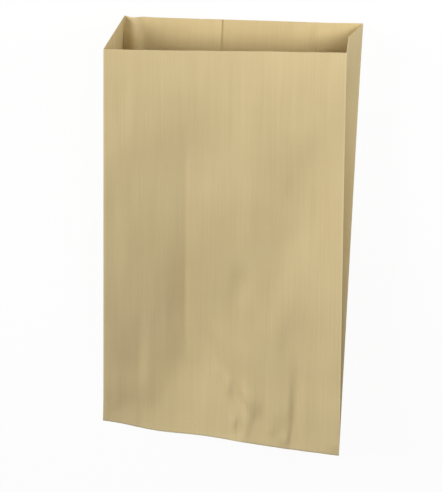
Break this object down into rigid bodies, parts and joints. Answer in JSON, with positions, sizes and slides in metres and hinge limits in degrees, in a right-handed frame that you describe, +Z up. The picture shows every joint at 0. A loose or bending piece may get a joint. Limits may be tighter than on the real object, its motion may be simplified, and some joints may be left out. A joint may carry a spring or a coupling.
{
  "type": "kraft paper gift bag",
  "caption": "Tall kraft paper bag with side gussets and a flat glued bottom fold, lying on its back panel with the mouth open.",
  "frame": {"origin": "on the surface that the bag lies on, under the middle of its outline", "axes": "+Y runs from the bottom fold to the mouth, +X across the bag to the right seen from its front panel, +Z up through the front panel"},
  "size_m": [0.193, 0.36, 0.049],
  "materials": {
    "kraft_paper": "matt ribbed brown kraft, slightly glossy on its smooth side"
  },
  "bodies": {
    "root": {"gift_bag": "kraft_paper"}
  },
  "joints": []
}
